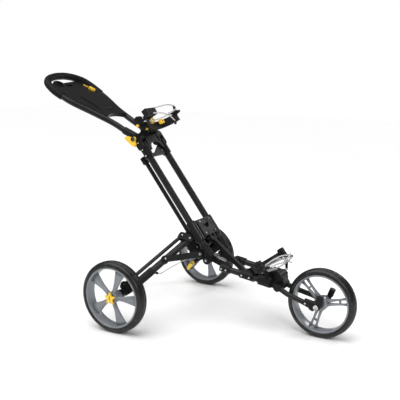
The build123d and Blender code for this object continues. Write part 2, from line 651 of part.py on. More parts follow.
def handle():
    """Handle loop, its hubs and its grip."""
    points, radii = handle_path()
    loop = sweep_round(smooth_path(points, radii), HANDLE_TUBE_RADIUS)
    hub = on_spine(HANDLE_PIVOT_S, TUBE_T)
    heading = (points[1] - points[0]).normalized()
    hubs = []
    for y in (-SPINE_HALF_SPACING, SPINE_HALF_SPACING):
        piece = cross_rod(hub, y - 15, y + 15, 20)
        start = Vector(points[0].X, y, points[0].Z)
        sleeve_end = start + Vector(heading.X, 0, heading.Z) * 44
        piece += rod(Vector(hub.X, y, hub.Z), sleeve_end, 16)
        piece -= cross_rod(hub, -120, 120, HANDLE_PIN_RADIUS + 0.05)
        hubs.append(piece - loop)
    save(group(hubs), "handle_hubs")
    save(loop, "handle_tube")
    first_covered = 4
    grip_half = [(points[3] + points[4]) * 0.5] + points[first_covered:8]
    grip_points = grip_half + [mirror_y(point) for point in reversed(grip_half)]
    grip_path = smooth_path(grip_points, radii[3:-3])
    save(sweep_round(grip_path, GRIP_RADIUS) - loop, "handle_grip")
    console(sweep_round(smooth_path(points, radii), GRIP_RADIUS + 0.5))
    save(clamp_lever(), "handle_cam_lever")


CONSOLE_FRONT = at(-240, 0, 815)
CONSOLE_RISE = (at(-520, 0, 950) - CONSOLE_FRONT).normalized()
CONSOLE_NORMAL = Vector(CONSOLE_RISE.Z, 0, -CONSOLE_RISE.X)
CONSOLE_HALF_DEPTH = 9.0
CUP_U = 300.0
CUP_Y = -60.0
CUP_RADIUS = 20.0
CUP_BORE = 16.0


def on_console(u, y, height=0.0):
    """The point at u back along the console, y to the side and height above its middle plane."""
    return CONSOLE_FRONT + CONSOLE_RISE * u + Vector(0, y, 0) + CONSOLE_NORMAL * height


def console_rod(u, y, low, high, radius):
    """A cylinder square to the console, between two heights."""
    return rod(on_console(u, y, low), on_console(u, y, high), radius)


def console_box(low_u, high_u, low_y, high_y, low, high):
    """A block with its sides along the console's own directions."""
    corners = [
        on_console(low_u, 0, low),
        on_console(high_u, 0, low),
        on_console(high_u, 0, high),
        on_console(low_u, 0, high),
    ]
    return slab(corners, low_y, high_y)


def console(loop_space):
    """Console between the sides of the loop, with its lid, cup and push button."""
    depth = CONSOLE_HALF_DEPTH
    side = [(67, 90), (167, 127), (255, 137)]
    edge = [(-4, 72)] + side + [(320, 100), (305, -29), (300, -128)]
    edge += [(u, -y) for u, y in reversed(side)] + [(-4, -72)]
    outline = Polyline(*[on_console(u, y, -depth) for u, y in edge])
    front = ThreePointArc(on_console(-4, -72, -depth), on_console(20, 0, -depth), on_console(-4, 72, -depth))
    body = extrude(make_face(outline + front), amount=2 * depth, dir=CONSOLE_NORMAL)
    body += console_rod(CUP_U, CUP_Y, -depth, depth, CUP_RADIUS + 7)
    body -= console_box(274, 286, -32, 4, -30, 30)
    body -= console_rod(296, 76, -30, 30, 4.5)
    body -= console_box(60, 180, -48, 48, 6, 20)
    body -= loop_space
    pocket = (on_console(223, 88), on_console(239, 88))
    body -= stadium(*pocket, CONSOLE_NORMAL, 4, 30, 10)
    body -= console_rod(CUP_U, CUP_Y, -30, 30, CUP_RADIUS)
    save(body, "console")
    cup = console_rod(CUP_U, CUP_Y, -26, 12, CUP_RADIUS)
    cup -= console_rod(CUP_U, CUP_Y, -22, 20, CUP_BORE)
    save(cup, "cup_holder")
    lid = console_box(63, 178, -47, 47, 7.4, 11)
    barrel = rod(on_console(64, -47, depth), on_console(64, 47, depth), 2.4)
    save(lid + barrel, "console_lid")
    save(stadium(*pocket, CONSOLE_NORMAL, 8, 17, 9.5), "handle_button")


def clamp_lever():
    """The leaf-shaped lever that clamps the handle, turning on the end of the handle's pin."""
    leaf = [(554, 4), (560, 14), (575, 18), (594, 14), (610, 0), (617, -14), (606, -18), (580, -10), (562, -4)]
    lever = slab([on_spine(s, t) for s, t in leaf], LEVER_OUTER_Y, LEVER_INNER_Y)
    lever += cross_rod(on_spine(HANDLE_PIVOT_S, TUBE_T), LEVER_OUTER_Y, LEVER_INNER_Y + 3, 9)
    return lever - cross_rod(on_spine(HANDLE_PIVOT_S, TUBE_T), -120, -80, HANDLE_PIN_RADIUS + 0.05)


def brake_pedal():
    """The parking brake pedal on the left wheel carrier."""
    pivot = PEDAL_PIVOT
    pedal = cross_rod(pivot, 316, 330.5, 6.5)
    outline = [at(-48, 0, 107), at(-58, 0, 105), at(-68, 0, 93), at(-76, 0, 73), at(-69, 0, 69), at(-49, 0, 91)]
    pedal += slab(outline, 310, 330.5)
    pedal -= cross_rod(pivot, 300, 340, PEDAL_PIN_RADIUS + 0.05)
    save(pedal, "brake_pedal")


main_frame()
slider()
for side in ("right", "left"):
    leg(side)
rear_wheels()
front_wheel()
front_strut()
upper_cradle()
lower_cradle(front_frame())
handle()
brake_pedal()
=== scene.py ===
"""Looks of the folding golf push trolley: camera, light, materials and detailed pieces.

Lengths are in metres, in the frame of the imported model. Places come from its boxes and joints.
"""

import json
import math

import bmesh
import bpy
from mathutils import Matrix, Vector


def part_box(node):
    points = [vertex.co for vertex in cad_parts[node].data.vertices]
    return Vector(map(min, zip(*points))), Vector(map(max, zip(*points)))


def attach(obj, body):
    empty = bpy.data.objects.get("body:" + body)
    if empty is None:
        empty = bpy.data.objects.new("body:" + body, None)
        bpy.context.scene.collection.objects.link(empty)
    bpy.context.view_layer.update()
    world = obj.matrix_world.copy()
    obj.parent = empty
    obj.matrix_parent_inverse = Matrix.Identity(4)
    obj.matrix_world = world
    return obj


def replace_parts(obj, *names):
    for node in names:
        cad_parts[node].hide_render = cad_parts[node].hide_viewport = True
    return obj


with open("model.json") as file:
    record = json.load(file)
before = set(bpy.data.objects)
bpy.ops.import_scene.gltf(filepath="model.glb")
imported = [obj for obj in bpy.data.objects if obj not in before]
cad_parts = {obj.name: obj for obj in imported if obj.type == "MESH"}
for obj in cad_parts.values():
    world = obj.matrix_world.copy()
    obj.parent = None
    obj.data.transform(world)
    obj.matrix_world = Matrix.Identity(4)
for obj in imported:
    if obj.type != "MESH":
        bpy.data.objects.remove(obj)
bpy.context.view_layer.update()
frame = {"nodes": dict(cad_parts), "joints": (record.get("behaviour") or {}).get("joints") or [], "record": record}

MM = 0.001
NODES = frame["nodes"]
JOINTS = {joint["name"]: joint for joint in frame["joints"]}

# The spine's own directions: s up along it and t out of it, from the fold pivot.
FOLD_PIVOT = Vector(JOINTS["front_fold"]["pos_m"])
UP_SPINE = Vector(JOINTS["slider_slide"]["axis"])
OUT_OF_SPINE = Vector((UP_SPINE.z, 0, -UP_SPINE.x))
ACROSS = Vector((0, 1, 0))


def on_spine(s, t, y=0.0):
    """The point at s mm up the spine, t mm out of it and y mm to the side."""
    return FOLD_PIVOT + UP_SPINE * (s * MM) + OUT_OF_SPINE * (t * MM) + ACROSS * (y * MM)


# ---------------------------------------------------------------------------------------------
# Materials
# ---------------------------------------------------------------------------------------------
class Shader:
    """A material with one Principled shader, and short calls for the nodes that feed it."""

    def __init__(self, name, **sockets):
        self.material = bpy.data.materials.new(name)
        self.material.use_nodes = True
        self.tree = self.material.node_tree
        self.surface = self.tree.nodes["Principled BSDF"]
        for socket, value in sockets.items():
            self.surface.inputs[socket.replace("_", " ")].default_value = value
        self.coordinates = self.tree.nodes.new("ShaderNodeTexCoord").outputs["Object"]

    def node(self, kind, inputs=None, **settings):
        """A new node with its inputs set to values or linked to outputs."""
        node = self.tree.nodes.new(kind)
        for name, value in settings.items():
            setattr(node, name, value)
        for name, value in (inputs or {}).items():
            if isinstance(value, bpy.types.NodeSocket):
                self.tree.links.new(value, node.inputs[name])
            else:
                node.inputs[name].default_value = value
        return node

    def noise(self, scale, detail=3.0, roughness=0.55):
        """Noise with about scale features per metre."""
        inputs = {"Vector": self.coordinates, "Scale": scale, "Detail": detail, "Roughness": roughness}
        return self.node("ShaderNodeTexNoise", inputs).outputs["Fac"]

    def spread(self, value, low, high, out_low=0.0, out_high=1.0):
        """The value mapped from one range to another, clamped."""
        inputs = {"Value": value, "From Min": low, "From Max": high, "To Min": out_low, "To Max": out_high}
        return self.node("ShaderNodeMapRange", inputs).outputs["Result"]

    def blend(self, factor, first, second):
        """A colour between two colours."""
        # A mix node's sockets share names, so its colour ones are reached by number.
        return self.node("ShaderNodeMix", {0: factor, 6: first, 7: second}, data_type="RGBA").outputs[2]

    def feed(self, socket, value):
        """Link a value to one of the shader's sockets."""
        self.tree.links.new(value, self.surface.inputs[socket])

    def bump(self, height, distance, strength=1.0):
        """Raise the surface by a height of 0 to 1, times a distance in metres."""
        inputs = {"Height": height, "Distance": distance, "Strength": strength}
        self.feed("Normal", self.node("ShaderNodeBump", inputs).outputs["Normal"])

    def edge_wear(self, worn, base):
        """The base colour, rubbed to the worn one on the sharpest edges."""
        pointed = self.node("ShaderNodeNewGeometry").outputs["Pointiness"]
        patchy = self.noise(160.0, 4.0)
        edge = self.spread(pointed, 0.56, 0.64)
        product = self.node("ShaderNodeMath", {0: edge, 1: patchy}, operation="MULTIPLY").outputs[0]
        return self.blend(product, base, worn)


def rgb(red, green, blue):
    """A colour with full alpha."""
    return (red, green, blue, 1.0)


# How far the roughness of a grained surface varies, from its lowest to its highest.
GLOSS_SPREAD = 0.10

# Moulded and painted surfaces: darker and lighter colour, roughness, features of the grain per metre,
# its depth in metres, coat, specular level.
GRAINED = {
    "frame_paint": ((0.009, 0.009, 0.009), (0.018, 0.018, 0.018), 0.30, 900.0, 0.00008, 0.0, 0.20),
    "black_plastic": ((0.006, 0.006, 0.007), (0.013, 0.013, 0.014), 0.46, 1500.0, 0.00008, 0.0, 0.13),
    "flat_black": ((0.005, 0.005, 0.005), (0.011, 0.011, 0.011), 0.52, 1100.0, 0.00008, 0.0, 0.14),
    # The ridges' colour is lighter than the frame paint: a painted highlight along the collars.
    "bright_ridge": ((0.045, 0.044, 0.040), (0.070, 0.068, 0.062), 0.24, 900.0, 0.00004, 0.0, 0.8),
    "gloss_black": ((0.006, 0.006, 0.007), (0.010, 0.010, 0.011), 0.30, 700.0, 0.00003, 0.0, 0.15),
    "grey_plastic": ((0.165, 0.177, 0.195), (0.225, 0.240, 0.262), 0.33, 1100.0, 0.00008, 0.35, 0.5),
    "yellow_plastic": ((0.92, 0.54, 0.015), (0.96, 0.66, 0.035), 0.33, 1100.0, 0.00006, 0.3, 0.5),
    "soft_rubber": ((0.008, 0.008, 0.008), (0.016, 0.016, 0.016), 0.58, 800.0, 0.00016, 0.0, 0.18),
    "dark_steel": ((0.012, 0.012, 0.012), (0.028, 0.028, 0.029), 0.34, 1200.0, 0.00005, 0.0, 0.5),
    "cable": ((0.42, 0.42, 0.41), (0.55, 0.55, 0.54), 0.40, 900.0, 0.00004, 0.0, 0.5),
    # Near-black for thin blocks that paint the shade inside slots that are not cut.
    "painted_slot_shade": ((0.004, 0.004, 0.004), (0.009, 0.009, 0.009), 0.7, 600.0, 0.00006, 0.0, 0.5),
}


def grained(name, darker, lighter, roughness, grain, depth, coat, specular):
    """A moulded or painted surface: mottled colour, uneven gloss and a fine grain."""
    shader = Shader(name, Coat_Weight=coat, Coat_Roughness=0.18, Specular_IOR_Level=specular)
    cloud = shader.noise(14.0, 5.0)
    base = shader.blend(shader.spread(cloud, 0.3, 0.7), rgb(*darker), rgb(*lighter))
    shader.feed("Base Color", shader.edge_wear(rgb(*lighter), base))
    smear = shader.noise(38.0, 4.0)
    glossiest = roughness - GLOSS_SPREAD / 2
    dullest = roughness + GLOSS_SPREAD / 2
    shader.feed("Roughness", shader.spread(smear, 0.3, 0.7, glossiest, dullest))
    shader.bump(shader.noise(grain, 2.0), depth)
    return shader


def make_materials():
    """Every material of the trolley, by name."""
    made = {name: grained(name, *finish) for name, finish in GRAINED.items()}
    made.update(rubber=rubber(), tread=tread(), steel=steel(), elastic=elastic())
    return {name: shader.material for name, shader in made.items()}


def rubber():
    """Foamed grip rubber with fine pores."""
    shader = Shader("rubber", Specular_IOR_Level=0.12)
    cloud = shader.noise(25.0, 4.0)
    shader.feed("Base Color", shader.blend(cloud, rgb(0.005, 0.005, 0.005), rgb(0.012, 0.012, 0.012)))
    shader.feed("Roughness", shader.spread(shader.noise(90.0), 0.3, 0.7, 0.48, 0.62))
    pores = shader.node("ShaderNodeTexVoronoi", {"Vector": shader.coordinates, "Scale": 900.0})
    shader.bump(pores.outputs["Distance"], 0.0002, 0.6)
    return shader


def tread():
    """Tyre rubber: a soft sheen, faint lighter brownish patches that are partly scuffs and partly painted
    highlight, and mould marks.
    """
    shader = Shader("tread", Specular_IOR_Level=0.36)
    # Lighter brownish patches on the tread: partly scuffs, partly a painted highlight.
    scuff_and_highlight = shader.spread(shader.noise(60.0, 6.0, 0.7), 0.52, 0.72)
    shader.feed("Base Color", shader.blend(scuff_and_highlight, rgb(0.006, 0.006, 0.006), rgb(0.034, 0.031, 0.025)))
    shader.feed("Roughness", shader.spread(shader.noise(45.0, 5.0), 0.3, 0.7, 0.26, 0.44))
    shader.bump(shader.noise(420.0, 4.0), 0.0003, 0.5)
    return shader


def steel():
    """Zinc plated steel with fine brushing."""
    shader = Shader("steel", Metallic=1.0)
    cloud = shader.noise(80.0, 4.0)
    shader.feed("Base Color", shader.blend(cloud, rgb(0.46, 0.47, 0.49), rgb(0.66, 0.66, 0.67)))
    shader.feed("Roughness", shader.spread(shader.noise(300.0), 0.3, 0.7, 0.22, 0.40))
    shader.bump(shader.noise(1600.0, 2.0), 0.00005, 0.6)
    return shader


def elastic():
    """Braided elastic cord: a fine diagonal weave in two greys."""
    shader = Shader("elastic", Sheen_Weight=0.3)
    threads = []
    flipped = shader.node("ShaderNodeMapping", {"Vector": shader.coordinates, "Scale": (1, -1, 1)})
    for vector in (shader.coordinates, flipped.outputs[0]):
        wave = {"Vector": vector, "Scale": 150.0}
        threads.append(shader.node("ShaderNodeTexWave", wave, bands_direction="DIAGONAL").outputs["Fac"])
    product = shader.node("ShaderNodeMath", {0: threads[0], 1: threads[1]}, operation="MULTIPLY")
    weave = product.outputs[0]
    shader.feed("Base Color", shader.blend(weave, rgb(0.42, 0.42, 0.43), rgb(0.82, 0.82, 0.82)))
    shader.feed("Roughness", shader.spread(weave, 0.0, 1.0, 0.70, 0.50))
    shader.bump(weave, 0.0004, 0.7)
    return shader


MATERIALS = make_materials()


def paint(obj, material):
    """Give an object one material, on every slot it has."""
    if not obj.material_slots:
        obj.data.materials.append(MATERIALS[material])
    for place in obj.material_slots:
        place.material = MATERIALS[material]


# ---------------------------------------------------------------------------------------------
# Mesh helpers
# ---------------------------------------------------------------------------------------------
def add_mesh(name, points, faces, material, body):
    """A smooth-shaded mesh piece that rides on a body."""
    mesh = bpy.data.meshes.new(name)
    mesh.from_pydata([tuple(point) for point in points], [], faces)
    mesh.update()
    made = bmesh.new()
    made.from_mesh(mesh)
    bmesh.ops.recalc_face_normals(made, faces=made.faces)
    made.to_mesh(mesh)
    made.free()
    for face in mesh.polygons:
        face.use_smooth = True
    obj = bpy.data.objects.new(name, mesh)
    bpy.context.scene.collection.objects.link(obj)
    paint(obj, material)
    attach(obj, body)
    return obj


def lathe(name, centre, profile, material, body, turns=160):
    """A closed profile of (radius, y) in metres, turned about the Y axis through centre."""
    points = []
    faces = []
    count = len(profile)
    for k in range(turns):
        angle = 2 * math.pi * k / turns
        for radius, y in profile:
            around = Vector((radius * math.sin(angle), y, radius * math.cos(angle)))
            points.append(Vector(centre) + around)
        for n in range(count):
            after = (n + 1) % count
            nearer = (k + 1) % turns
            faces.append((k * count + n, k * count + after, nearer * count + after, nearer * count + n))
    return add_mesh(name, points, faces, material, body)


def round_edges(obj, width, segments=2):
    """Round an object's sharp edges with a bevel."""
    bevel = obj.modifiers.new("bevel", "BEVEL")
    bevel.width = width
    bevel.segments = segments
    bevel.limit_method = "ANGLE"
    bevel.angle_limit = math.radians(35)
    bevel.harden_normals = True


# ---------------------------------------------------------------------------------------------
# Wheels
# ---------------------------------------------------------------------------------------------
# Width of a tyre's round shoulder.
SHOULDER = 15 * MM
SHOULDER_STEPS = 10
GROOVE_DEPTH = 1.1 * MM
# Places of a tyre's grooves on each side of its middle, in mm.
GROOVES = (5, 9, 13)
HUB_HALF = 22 * MM
HUB_BORE = 11 * MM


def tyre_profile(radius, inner, half):
    """The section of a tyre: a slightly domed crown with grooves, and round shoulders."""
    flat = half - SHOULDER
    grooves = []
    for y in GROOVES:
        for across, depth in ((-1.6, 0.0), (-0.7, GROOVE_DEPTH), (0.7, GROOVE_DEPTH), (1.6, 0.0)):
            grooves.append(((y + across) * MM, depth))
    crown = [(radius - depth - (y / flat) ** 2 * MM, y) for y, depth in grooves]
    shoulder = []
    for k in range(SHOULDER_STEPS + 1):
        turn = math.pi / 2 * k / SHOULDER_STEPS
        rise = (radius - inner - 7 * MM) * (1 - math.cos(turn))
        shoulder.append((radius - 1.4 * MM - rise, flat + SHOULDER * math.sin(turn)))
    half_section = crown + shoulder + [(inner + 4 * MM, half - 1.0 * MM), (inner, half - 4 * MM)]
    mirrored = [(r, -y) for r, y in reversed(half_section)]
    return mirrored + half_section


def rim_profile(seat, half):
    """The section of a rim: a deep barrel with a rolled lip on each side."""
    lip = half - 3 * MM
    outer = [(seat + 0.4 * MM, half - 5 * MM), (seat + 1.2 * MM, lip), (seat - 2.5 * MM, lip + 1.2 * MM)]
    outer += [(seat - 5.5 * MM, lip), (seat - 6.5 * MM, lip - 3 * MM), (seat - 7.5 * MM, 6 * MM)]
    inner = [(r, -y) for r, y in reversed(outer)]
    return outer + inner


def squared(value):
    """A sine or cosine pushed outwards, which turns a circle into a rounded square."""
    return math.copysign(abs(value) ** 0.6, value)


def blade(name, centre, turn, sections, body, crown=0.0):
    """A spoke lofted through sections of (distance, side, width, y, thickness), turned about Y."""
    points = []
    faces = []
    around = 16
    for distance, side, width, y, thickness in sections:
        for k in range(around):
            angle = 2 * math.pi * k / around
            across = squared(math.cos(angle)) * width / 2
            along = squared(math.sin(angle)) * thickness / 2
            ridge = crown * (1 - abs(2 * across / width))
            local = Vector((side + across, y + along - ridge, distance))
            points.append(Vector(centre) + Matrix.Rotation(turn, 3, "Y") @ local)
    rows = len(sections)
    for row in range(rows - 1):
        for k in range(around):
            after = (k + 1) % around
            first = row * around
            faces.append((first + k, first + after, first + around + after, first + around + k))
    faces.append(tuple(range(around)))
    faces.append(tuple((rows - 1) * around + k for k in range(around)))
    return add_mesh(name, points, faces, "grey_plastic", body)


def hub_profile(radius):
    """The section of a hub with bevelled rims and a recessed face on each side."""
    step = 2.0 * MM
    recess = HUB_HALF - 2 * step
    outer = [
        (radius, HUB_HALF - step), (radius - step, HUB_HALF), (radius * 0.62, HUB_HALF),
        (radius * 0.55, recess), (HUB_BORE, recess),
    ]
    return [(r, -y) for r, y in reversed(outer)] + outer


def wheel(name, spokes):
    """Tyre, rim, hub and spokes in place of the plain solids of one wheel."""
    centre = JOINTS[f"{name}_spin"]["pos_m"]
    low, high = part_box(f"{name}_tyre")
    half = (high[1] - low[1]) / 2
    radius = (high[2] - low[2]) / 2
    rim_low, rim_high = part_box(f"{name}_rim")
    seat = (rim_high[2] - rim_low[2]) / 2
    profile = tyre_profile(radius, seat, half)
    tyre = lathe(f"{name}_tyre_detail", centre, profile, "tread", name, 200)
    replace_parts(tyre, f"{name}_tyre")
    profile = rim_profile(seat, half)
    rim = lathe(f"{name}_rim_detail", centre, profile, "grey_plastic", name)
    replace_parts(rim, f"{name}_rim")
    spokes(name, centre)


# Sections of a rear spoke, in mm: distance from the axle, width, depth.
REAR_BLADE = ((17, 17, 16), (34, 17, 13), (56, 22, 10), (80, 33, 9), (100, 44, 9), (117, 54, 10))
# Sections of a front spoke's bar, in mm: distance from the axle, offset from the pair's middle, width,
# depth.
FRONT_BAR = ((20, 7.5, 15, 20), (40, 7.5, 11, 15), (64, 8.5, 8, 12), (88, 10, 8, 11), (110, 12.5, 13, 12))


def rear_spokes(name, centre):
    """Five blades about a round hub, which flare and lean inwards towards the rim."""
    sign = -1 if name.startswith("right") else 1
    lathe(f"{name}_hub", centre, hub_profile(24 * MM), "grey_plastic", name, 64)
    sections = []
    y = sign * 12 * MM
    for distance, width, depth in REAR_BLADE:
        sections.append((distance * MM, 0.0, width * MM, y, depth * MM))
        y -= sign * 2.2 * MM
    for k in range(5):
        turn = math.radians(18 + 72 * k)
        blade(f"{name}_spoke_{k + 1}", centre, turn, sections, name, crown=sign * -3 * MM)


def front_spokes(name, centre):
    """Three pairs of bars that run together towards a broad hub, each pair with a bridge."""
    lathe(f"{name}_hub", centre, hub_profile(27 * MM), "grey_plastic", name, 72)
    bridge = [(distance * MM, 0.0, 14 * MM, 0.0, 8 * MM) for distance in (72, 79)]
    for k in range(3):
        turn = math.radians(78 + 120 * k)
        for number, side in enumerate((-1, 1), start=2 * k + 1):
            sections = []
            for distance, offset, width, depth in FRONT_BAR:
                sections.append((distance * MM, side * offset * MM, width * MM, 0.0, depth * MM))
            blade(f"{name}_spoke_{number}", centre, turn, sections, name)
        blade(f"{name}_bridge_{k + 1}", centre, turn, bridge, name)


wheel("right_wheel", rear_spokes)
wheel("left_wheel", rear_spokes)
wheel("front_wheel", front_spokes)

# ---------------------------------------------------------------------------------------------
# Small pieces: cords, arms, blocks, screws and rings
# ---------------------------------------------------------------------------------------------
def curve_piece(name, routes, material, body, fineness=5):
    """Round bars or cords on smooth routes of (point, radius in mm), as one piece."""
    data = bpy.data.curves.new(name, "CURVE")
    data.dimensions = "3D"
    data.bevel_depth = MM
    data.bevel_resolution = fineness
    data.use_fill_caps = True
    for route in routes:
        spline = data.splines.new("NURBS")
        spline.points.add(len(route) - 1)
        for knot, (point, radius) in zip(spline.points, route):
            knot.co = (*point, 1.0)
            knot.radius = radius
        spline.order_u = 3
        spline.use_endpoint_u = True
        spline.resolution_u = 10
    obj = bpy.data.objects.new(name, data)
    bpy.context.scene.collection.objects.link(obj)
    paint(obj, material)
    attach(obj, body)
    return obj


def spine_blocks(name, blocks, material, body, rounding, place=on_spine):
    """Rounded blocks of (low s, high s, low t, high t, low y, high y), as one piece."""
    sides = ((0, 1, 3, 2), (4, 6, 7, 5), (0, 4, 5, 1), (2, 3, 7, 6), (0, 2, 6, 4), (1, 5, 7, 3))
    points = []
    faces = []
    for low_s, high_s, low_t, high_t, low_y, high_y in blocks:
        first = len(points)
        for s in (low_s, high_s):
            for t in (low_t, high_t):
                points += [place(s, t, low_y), place(s, t, high_y)]
        faces += [tuple(first + k for k in side) for side in sides]
    obj = add_mesh(name, points, faces, material, body)
    round_edges(obj, rounding * MM, 3)
    return obj


def turned(points, faces, centre, axis, profile, turns=24):
    """Add a solid of (radius, distance along axis) in mm, closed with a flat at each end."""
    turn = ACROSS.rotation_difference(Vector(axis))
    first = len(points)
    for radius, along in profile:
        for k in range(turns):
            angle = 2 * math.pi * k / turns
            local = Vector((radius * math.sin(angle), along, radius * math.cos(angle))) * MM
            points.append(Vector(centre) + turn @ local)
    for row in range(len(profile) - 1):
        for k in range(turns):
            after = (k + 1) % turns
            low = first + row * turns
            faces.append((low + k, low + after, low + turns + after, low + turns + k))
    last = first + (len(profile) - 1) * turns
    faces.append(tuple(first + k for k in range(turns)))
    faces.append(tuple(last + k for k in range(turns)))


def turned_piece(name, centre, axis, profile, material, body):
    """One turned solid."""
    points = []
    faces = []
    turned(points, faces, centre, axis, profile, 48)
    return add_mesh(name, points, faces, material, body)


def screws(name, places, body, radius=3.4):
    """Button-head screws with a socket, at (point, outward direction)."""
    points = []
    faces = []
    head = ((1, -0.4), (1, 0.2), (0.85, 0.5), (0.55, 0.66), (0.45, 0.66), (0.36, 0.2))
    profile = [(across * radius, along * radius) for across, along in head]
    for point, direction in places:
        turned(points, faces, point, direction, profile)
    return add_mesh(name, points, faces, "steel", body)


def ringed(name, start, end, radius, body, rings):
    """Raised rings round a bar, at fractions of the way from start to end."""
    points = []
    faces = []
    axis = (end - start).normalized()
    half, height = 1.5, 0.5
    profile = [
        (radius - 1, -half), (radius + height * 0.7, -half), (radius + height, -half * 0.5),
        (radius + height, half * 0.5), (radius + height * 0.7, half), (radius - 1, half),
    ]
    for share in rings:
        turned(points, faces, start.lerp(end, share), axis, profile, 40)
    return add_mesh(name, points, faces, "black_plastic", body)


# ---------------------------------------------------------------------------------------------
# Bag cradles
# ---------------------------------------------------------------------------------------------
# Radius of the elastic cords, in mm.
CORD = 2.9


def corded(name, cords, body, strap):
    """Elastic cords, each through its (s, t, y) knots, in place of a cradle's plain strap."""
    routes = [[(on_spine(*knot), CORD) for knot in cord] for cord in cords]
    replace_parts(curve_piece(name, routes, "elastic", body), strap)


def claw(name, centre, tips, body):
    """Tapered arms from one centre, bowed outwards, which hook the cords."""
    bow = (0, 4, 0)
    routes = []
    for tip in tips:
        middle = tuple((a + b) / 2 + push for a, b, push in zip(centre, tip, bow))
        routes.append([(on_spine(*centre), 9.0), (on_spine(*middle), 7.0), (on_spine(*tip), 4.5)])
    return curve_piece(name, routes, "black_plastic", body)


def upper_cradle():
    """Ribbed near grip, four-armed far grip, yellow buckles and studs, boss and three elastic cords."""
    body = "upper_cradle"
    ribs = [(613, 643, 136, 160, low, low + 22) for low in (-134, -109, -84)]
    ribs.append((617, 639, 139, 157, -130, -66))
    near = spine_blocks("upper_grip_near", ribs, "soft_rubber", body, 3.0)
    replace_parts(near, "upper_cradle_pads")
    tips = [(650, 142, 110), (614, 156, 110), (580, 102, 110), (634, 104, 104)]
    claw("upper_grip_far", (617, 132, 108), tips, body)
    tabs = [(606, 626, 86, 107, -52, -22), (598, 616, 86, 101, 22, 48)]
    spine_blocks("upper_buckles", tabs, "yellow_plastic", body, 3.0)
    # The buckles' slots are not cut: near-black blocks on the tabs paint the shade inside them.
    slots = [(614.5, 617, 106, 108, -42, -32), (605.5, 608.5, 100, 102, 31, 39)]
    spine_blocks("upper_buckle_slots", slots, "painted_slot_shade", body, 0.4)
    boss = [
        (8, -22), (17, -22), (20, -20), (20, -17), (15, -15), (15, -10),
        (20, -8), (20, -5), (15, -3), (15, 12), (7, 14),
    ]
    middle = on_spine(634, 74, -72)
    turned_piece("upper_boss", middle, ACROSS, boss, "black_plastic", body)
    webs = [(596, 628, 58, 92, -78, -66), (610, 634, 88, 140, -98, -74)]
    spine_blocks("upper_boss_web", webs, "black_plastic", body, 3.0)
    stud = [(6.0, -4), (6.5, 0), (5.5, 4), (3.0, 6)]
    for number, place in enumerate((on_spine(601, 62, -44), on_spine(619, 63, -95))):
        name = f"upper_stud_{number}"
        turned_piece(name, place, -ACROSS, stud, "yellow_plastic", body)
    cords = [
        [(608, 116, -112), (602, 124, -60), (606, 126, 0), (618, 137, 60), (630, 147, 106)],
        [(612, 168, -104), (616, 158, -50), (616, 147, 0), (605, 134, 60), (586, 112, 108)],
        [
            (628, 150, -112), (640, 150, -80), (646, 148, -50),
            (650, 153, 10), (651, 156, 60), (645, 148, 104),
        ],
    ]
    corded("upper_cords", cords, body, "upper_strap")
    places = [(on_spine(s, t, -98), -ACROSS) for s, t in ((628, 106), (613, 104))]
    screws("upper_cradle_screws", places, body, 2.8)


def lower_cradle():
    """Ribbed near grip, plain far grip, claws and a fan of elastic cords."""
    body = "front_section"
    ribs = [(low, low + 13, 196, 226, -122, -99) for low in (-162, -145.5, -129)]
    ribs.append((-160, -116, 200, 220, -118, -97))
    near = spine_blocks("lower_grip_near", ribs, "soft_rubber", body, 3.0)
    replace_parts(near, "lower_cradle_pads")
    far = [(-150, -112, 198, 224, 97, 121)]
    spine_blocks("lower_grip_far", far, "soft_rubber", body, 5.0)
    tips = [(-168, 244, 110), (-200, 186, 110), (-122, 206, 110)]
    claw("lower_hooks", (-150, 218, 108), tips, body)
    tips = [(-158, 222, -66), (-172, 206, -70), (-134, 218, -72)]
    claw("lower_hooks_near", (-150, 206, -108), tips, body)
    cords = [
        [(-153, 203, -112), (-150, 213, -50), (-153, 226, 0), (-157, 236, 60), (-168, 240, 108)],
        [(-156, 197, -112), (-166, 201, -50), (-176, 218, 0), (-176, 228, 60), (-170, 236, 108)],
        [(-146, 208, -112), (-142, 222, -50), (-140, 236, 0), (-146, 244, 50), (-160, 244, 106)],
        [(-158, 196, -106), (-168, 196, -50), (-176, 200, 0), (-192, 204, 50), (-198, 190, 104)],
        [(-150, 212, -106), (-138, 218, -40), (-148, 232, 30), (-176, 236, 70), (-186, 226, 106)],
        [(-160, 204, -106), (-158, 222, -20), (-172, 230, 40), (-160, 250, 80), (-150, 246, 106)],
    ]
    corded("lower_cords", cords, body, "lower_strap")


upper_cradle()
lower_cradle()

# ---------------------------------------------------------------------------------------------
# Frame details
# ---------------------------------------------------------------------------------------------
OUTWARD = {"right": -ACROSS, "left": ACROSS}
# The spine tubes' place, the distance of the collars' ridges from their middle, and how far out the
# yoke's screws sit, in mm.
TUBE_T = 16
TUBE_Y = 66
RIDGE_RADIUS = 19.6
YOKE_SCREW_Y = 87
# A leg's sleeve, its boss's distance from the fold pin, and where the boss's screw sits, in mm.
SLEEVE_RADIUS = 16.5
BOSS_DISTANCE = 134
BOSS_SCREW = 28.4
# Which way along its joint's axis the head of a leg pin lies.
PIN_HEADS = {"right": 1, "left": -1}


def leg_details(side):
    """Rings on the sleeve and a screw in the boss of one leg."""
    root = Vector(JOINTS[f"{side}_leg_fold"]["pos_m"])
    end = Vector(JOINTS[f"{side}_carrier_swing"]["pos_m"])
    axis = Vector(JOINTS[f"{side}_leg_fold"]["axis"])
    rings = (0.645, 0.70, 0.85, 0.895)
    ringed(f"{side}_sleeve_rings", root, end, SLEEVE_RADIUS, f"{side}_leg", rings)
    boss = root + (end - root).normalized() * (BOSS_DISTANCE * MM)
    outward = axis * PIN_HEADS[side]
    places = [(boss + outward * (BOSS_SCREW * MM), outward)]
    screws(f"{side}_boss_screw", places, f"{side}_leg_strut", 4.2)


